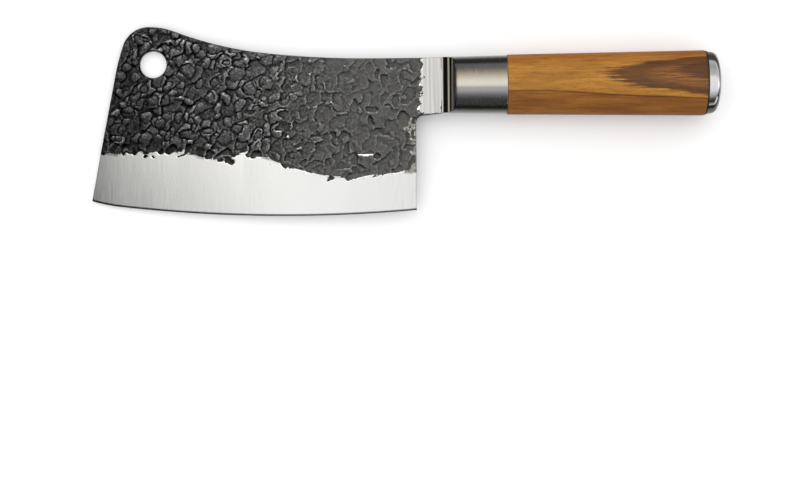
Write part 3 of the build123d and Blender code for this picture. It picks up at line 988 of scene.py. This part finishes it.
def olive_wood():
    """Golden wood with a dark heart, where the axis of a slightly tilted trunk comes near the surface."""
    g = Graph(bpy.data.materials.new("olive_wood_finish"))
    here = g.place()
    wave = g.noise(g.place((0.25, 1, 1)), 9, 3, 0.5)
    wave = g.times(g.minus(wave, 0.5), 5.0)
    x, y, z = g.split(here)
    run = g.minus(x, 225.0)
    heart_y = g.minus(y, g.plus(-6.2, g.times(run, -0.022)))
    heart_z = g.minus(z, g.plus(26.0, g.times(run, -0.098)))
    squares = g.plus(g.math("POWER", heart_y, 2.0), g.math("POWER", heart_z, 2.0))
    ring_radius = g.plus(g.math("SQRT", squares), g.times(wave, 0.45))

    fibre = g.noise(g.place((0.14, 1.7, 1.7)), 1, 4, 0.75)
    streak = g.noise(g.place((0.05, 0.9, 0.9)), 1, 4, 0.7)
    pores = g.noise(g.place((0.45, 2.2, 2.2)), 1, 2, 0.5)
    warm = g.noise(g.place((0.05, 0.3, 0.3)), 1.4, 2, 0.5)
    light = g.ramp(warm, [(0.3, (0.335, 0.130, 0.010)), (0.7, (0.46, 0.205, 0.020))])
    growth = g.plus(y, g.times(wave, 0.3))
    growth = g.plus(growth, g.times(g.math("MAXIMUM", run, -30.0), 0.06))
    growth = g.plus(growth, g.times(z, 0.12))
    lower = g.ramp(g.fit(growth, -26, -6), [
        (0.0, (0.60, 0.50, 0.45)), (0.30, (0.66, 0.56, 0.50)), (0.45, (0.60, 0.48, 0.42)),
        (0.475, (0.22, 0.12, 0.10)), (0.495, (0.62, 0.52, 0.46)), (0.53, 1.0), (1.0, 1.0),
    ])
    body = g.mix(1.0, light, lower, "MULTIPLY")
    body = g.mix(g.fit(y, -5, 2), body, g.mix(1.0, body, (0.84, 0.68, 0.56), "MULTIPLY"))

    fraying = g.times(g.minus(streak, 0.5), 5.0)
    fuzzy = g.plus(ring_radius, fraying)
    heart = g.ramp(g.fit(fuzzy, 4, 16), [
        (0.0, (0.215, 0.078, 0.012)), (0.60, (0.255, 0.098, 0.016)), (0.70, (0.205, 0.076, 0.012)),
        (0.76, (0.125, 0.044, 0.007)), (1.0, (0.13, 0.047, 0.008)),
    ])
    core_y = g.minus(heart_y, 3.4)
    core = g.plus(g.math("POWER", core_y, 2.0), g.math("POWER", heart_z, 2.0))
    core = g.plus(g.math("SQRT", core), g.times(fraying, 0.5))
    heart = g.mix(g.fit(core, 11.5, 10.4), heart, (0.098, 0.035, 0.006))
    heart = g.mix(g.fit(streak, 0.52, 0.44, 0.0, 0.5), heart, (0.098, 0.035, 0.006))
    colour = g.mix(g.fit(fuzzy, 14.8, 13.9), body, heart)
    shade = g.ramp(streak, [(0.35, 0.70), (0.6, 1.08)])
    colour = g.mix(0.75, colour, g.mix(1.0, colour, shade, "MULTIPLY"))
    fine = g.ramp(fibre, [(0.3, 0.62), (0.5, 1.0), (0.75, 1.14)])
    colour = g.mix(0.8, colour, g.mix(1.0, colour, fine, "MULTIPLY"))
    colour = g.mix(g.fit(pores, 0.6, 0.7, 0.0, 0.45), colour, (0.12, 0.045, 0.012))

    rough = g.ramp(fibre, [(0.3, 0.5), (0.7, 0.38)])
    normal = g.bump(g.minus(fibre, g.fit(pores, 0.6, 0.7, 0.0, 0.6)), 0.04)
    return g.surface(base_color=colour, roughness=rough, ior=1.4, normal=normal)


def epoxy():
    """Amber adhesive with small trapped bubbles."""
    g = Graph(bpy.data.materials.new("epoxy_finish"))
    cloud = g.noise(g.place(), 3, 3, 0.6)
    bubbles = g.add("ShaderNodeTexVoronoi", {"Vector": g.place(), "Scale": 0.9}).outputs["Distance"]
    colour = g.ramp(cloud, [(0.3, (0.42, 0.26, 0.08)), (0.7, (0.55, 0.38, 0.15))])
    rough = g.ramp(cloud, [(0.3, 0.25), (0.7, 0.4)])
    return g.surface(base_color=colour, roughness=rough, normal=g.bump(bubbles, 0.04))


# ---- studio

def make_floor():
    """White sweep under the cleaver, which rests on the nose of the blade and on the butt."""
    rest_left = np.array([-27.0, -HALF_THICK])
    rest_right = np.array([HANDLE_END_X, -HANDLE_REAR[1] / 2])
    across = rest_right - rest_left
    tilt = math.atan2(across[1], across[0])
    corners = []
    for along, y in ((-1, -1), (1, -1), (1, 1), (-1, 1)):
        x = rest_left[0] * MM + along * FLOOR_HALF_SIZE * math.cos(tilt)
        z = rest_left[1] * MM + along * FLOOR_HALF_SIZE * math.sin(tilt)
        corners.append((x, y * FLOOR_HALF_SIZE, z))
    mesh = bpy.data.meshes.new("studio_floor")
    mesh.from_pydata(corners, [], [(0, 1, 2, 3)])
    g = Graph(bpy.data.materials.new("white_paper"))
    mesh.materials.append(g.surface(base_color=(0.97, 0.97, 0.97), roughness=1.0, specular_ior_level=0.0))
    floor = new_object("studio_floor", mesh)
    floor.visible_glossy = False


def angle_ramp(g, sideways, up, stops):
    """Colour by the angle of a direction from straight up towards one side, in degrees."""
    angle = g.math("ARCTAN2", sideways, up)
    share = g.plus(g.times(angle, 0.5 / math.pi), 0.5)
    return g.ramp(share, [((degrees + 180) / 360, colour) for degrees, colour in stops])


def make_world():
    """Even pale light, with bright panels and dark gaps that only mirrored rays see."""
    world = bpy.data.worlds.new("studio")
    bpy.context.scene.world = world
    g = Graph(world)
    direction = g.add("ShaderNodeTexCoord").outputs["Generated"]
    x, y, z = g.split(direction)
    over = angle_ramp(g, y, z, [
        (-180, 0.6), (-140, 0.5), (-124, 0.35), (-112, 0.2), (-98, 0.03), (-90, 0.005), (-50, 0.008),
        (-39, (0.025, 0.032, 0.045)), (-31, (0.11, 0.125, 0.155)), (-24, 0.29), (-18, 0.56), (-11, 0.94),
        (-3, 1.0), (1, (2.1, 2.05, 1.85)), (6, (2.35, 2.25, 2.0)), (13, (2.1, 2.0, 1.7)),
        (21, (1.65, 1.5, 1.18)), (31, (1.05, 0.92, 0.7)), (40, (0.6, 0.5, 0.36)), (50, 0.11), (60, 0.05),
        (75, 0.015), (95, 0.015), (110, 0.1), (122, 0.35), (134, 0.55), (180, 0.6),
    ])
    side = angle_ramp(g, x, z, [
        (-180, 1.0), (-120, 1.0), (-100, 0.2), (-84, 0.004), (-77, 0.01), (-72, 0.55), (-62, 0.8),
        (-57, 0.6), (-53, 0.01), (-20, 0.008), (-15, 0.02), (-12.5, 0.24), (-9, 0.6), (-6, 1.08),
        (-3, 1.36), (-1, 1.3), (1, 0.95), (5, 0.72), (12, 0.45), (20, 0.35), (31, 0.42), (60, 0.3),
        (100, 0.35), (120, 1.0), (180, 1.0),
    ])
    mirrored = g.mix(1.0, over, side, "MULTIPLY")
    beyond_butt = angle_ramp(g, y, z, [
        (-180, 0.3), (-140, 0.2), (-118, 0.12), (-98, 0.01), (-62, 0.01), (-49, 0.07), (-40, 0.3),
        (-32, (0.44, 0.45, 0.48)), (-18, (0.74, 0.76, 0.8)), (12, 0.85), (20, 0.5), (35, 0.42),
        (44, 0.33), (58, 0.42), (68, 0.4), (76, 0.04), (100, 0.03), (120, 0.08), (145, 0.3), (180, 0.3),
    ])
    end_lamp = angle_ramp(g, x, z, [(-180, 1.0), (45, 1.0), (58, 1.4), (130, 1.4), (150, 1.0), (180, 1.0)])
    towards_butt = angle_ramp(g, x, z, [
        (-180, 0.0), (13, 0.0), (22, 1.0), (160, 1.0), (170, 0.0), (180, 0.0),
    ])
    mirrored = g.mix(towards_butt, mirrored, g.mix(1.0, beyond_butt, end_lamp, "MULTIPLY"))
    corner = g.fit(g.times(x, g.times(y, -1.0)), 0.37, 0.41)
    corner = g.times(corner, g.fit(z, 0.06, 0.18))
    mirrored = g.mix(corner, mirrored, (0.8, 0.8, 0.8))
    # Other rays see an even light, a little brighter from the spine's side and from the nose's.
    brighter = g.minus(g.times(y, 0.28), g.times(x, 0.2))
    even = g.add("ShaderNodeBackground", {"Color": (1, 1, 1, 1), "Strength": g.plus(brighter, 1.2)})
    studio = g.add("ShaderNodeBackground", {"Color": mirrored, "Strength": 1.0})
    glossy = g.add("ShaderNodeLightPath").outputs["Is Glossy Ray"]
    both = g.add("ShaderNodeMixShader", {0: glossy, 1: even.outputs[0], 2: studio.outputs[0]})
    g.add("ShaderNodeOutputWorld", {"Surface": both.outputs[0]})


def aim(lamp, name, place, direction):
    """Object with this lamp at a place, shining against the direction."""
    light = new_object(name, lamp)
    light.location = place
    light.rotation_mode = "QUATERNION"
    light.rotation_quaternion = direction.to_track_quat("Z", "Y")
    return light


def light_blade(blade):
    """Small softbox that lights the blade alone, to bring out its relief."""
    lamp = bpy.data.lights.new("key", "AREA")
    lamp.size = KEY_SIZE
    lamp.energy = KEY_WATTS
    direction = Vector(KEY_DIRECTION).normalized()
    key = aim(lamp, "key", Vector(KEY_TARGET) * MM + direction * KEY_DISTANCE, direction)
    key.light_linking.receiver_collection = bpy.data.collections.new("lit_by_key")
    key.light_linking.receiver_collection.objects.link(blade)
    key.visible_diffuse = False
    key.visible_camera = False


def make_camera():
    camera_data = bpy.data.cameras.new("camera")
    camera_data.sensor_width = 36
    camera_data.lens = CAMERA_LENS
    camera_data.clip_start = 0.05
    camera_data.clip_end = 10
    camera = new_object("camera", camera_data)
    camera.location = Vector((*CAMERA_POINT, CAMERA_HEIGHT + HALF_THICK)) * MM
    camera.rotation_euler = (0, 0, math.radians(-CAMERA_TURN))
    bpy.context.scene.camera = camera


def light_hole():
    """Narrow beam down through the hanging hole, so that the table inside it is as pale as around it."""
    lamp = bpy.data.lights.new("hole_beam", "SPOT")
    lamp.energy = BEAM_WATTS
    beam_length = math.hypot(*CAMERA_POINT, CAMERA_HEIGHT)
    lamp.spot_size = 2 * math.atan((HOLE_RADIUS - 0.1) / beam_length)
    lamp.spot_blend = 0.1
    lamp.shadow_soft_size = 0.0005
    place = Vector((*CAMERA_POINT, CAMERA_HEIGHT)) * MM
    aim(lamp, "hole_beam", place, place)


# ---- scene

forged_blade = make_blade(forged_steel())
make_bolster(brushed_steel())
make_handle(olive_wood())
make_liner(black_fibre())
make_cap(polished_steel())
inner_steel = plain_steel()
inner_finish = {
    "tang_rod": inner_steel,
    "tang_washer": inner_steel,
    "tang_nut": inner_steel,
    "tang_adhesive": epoxy(),
}
for node, material in inner_finish.items():
    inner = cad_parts[node].data
    inner.materials.clear()
    inner.materials.append(material)

make_floor()
make_world()
light_blade(forged_blade)
make_camera()
light_hole()
bpy.context.scene.view_settings.view_transform = "Standard"
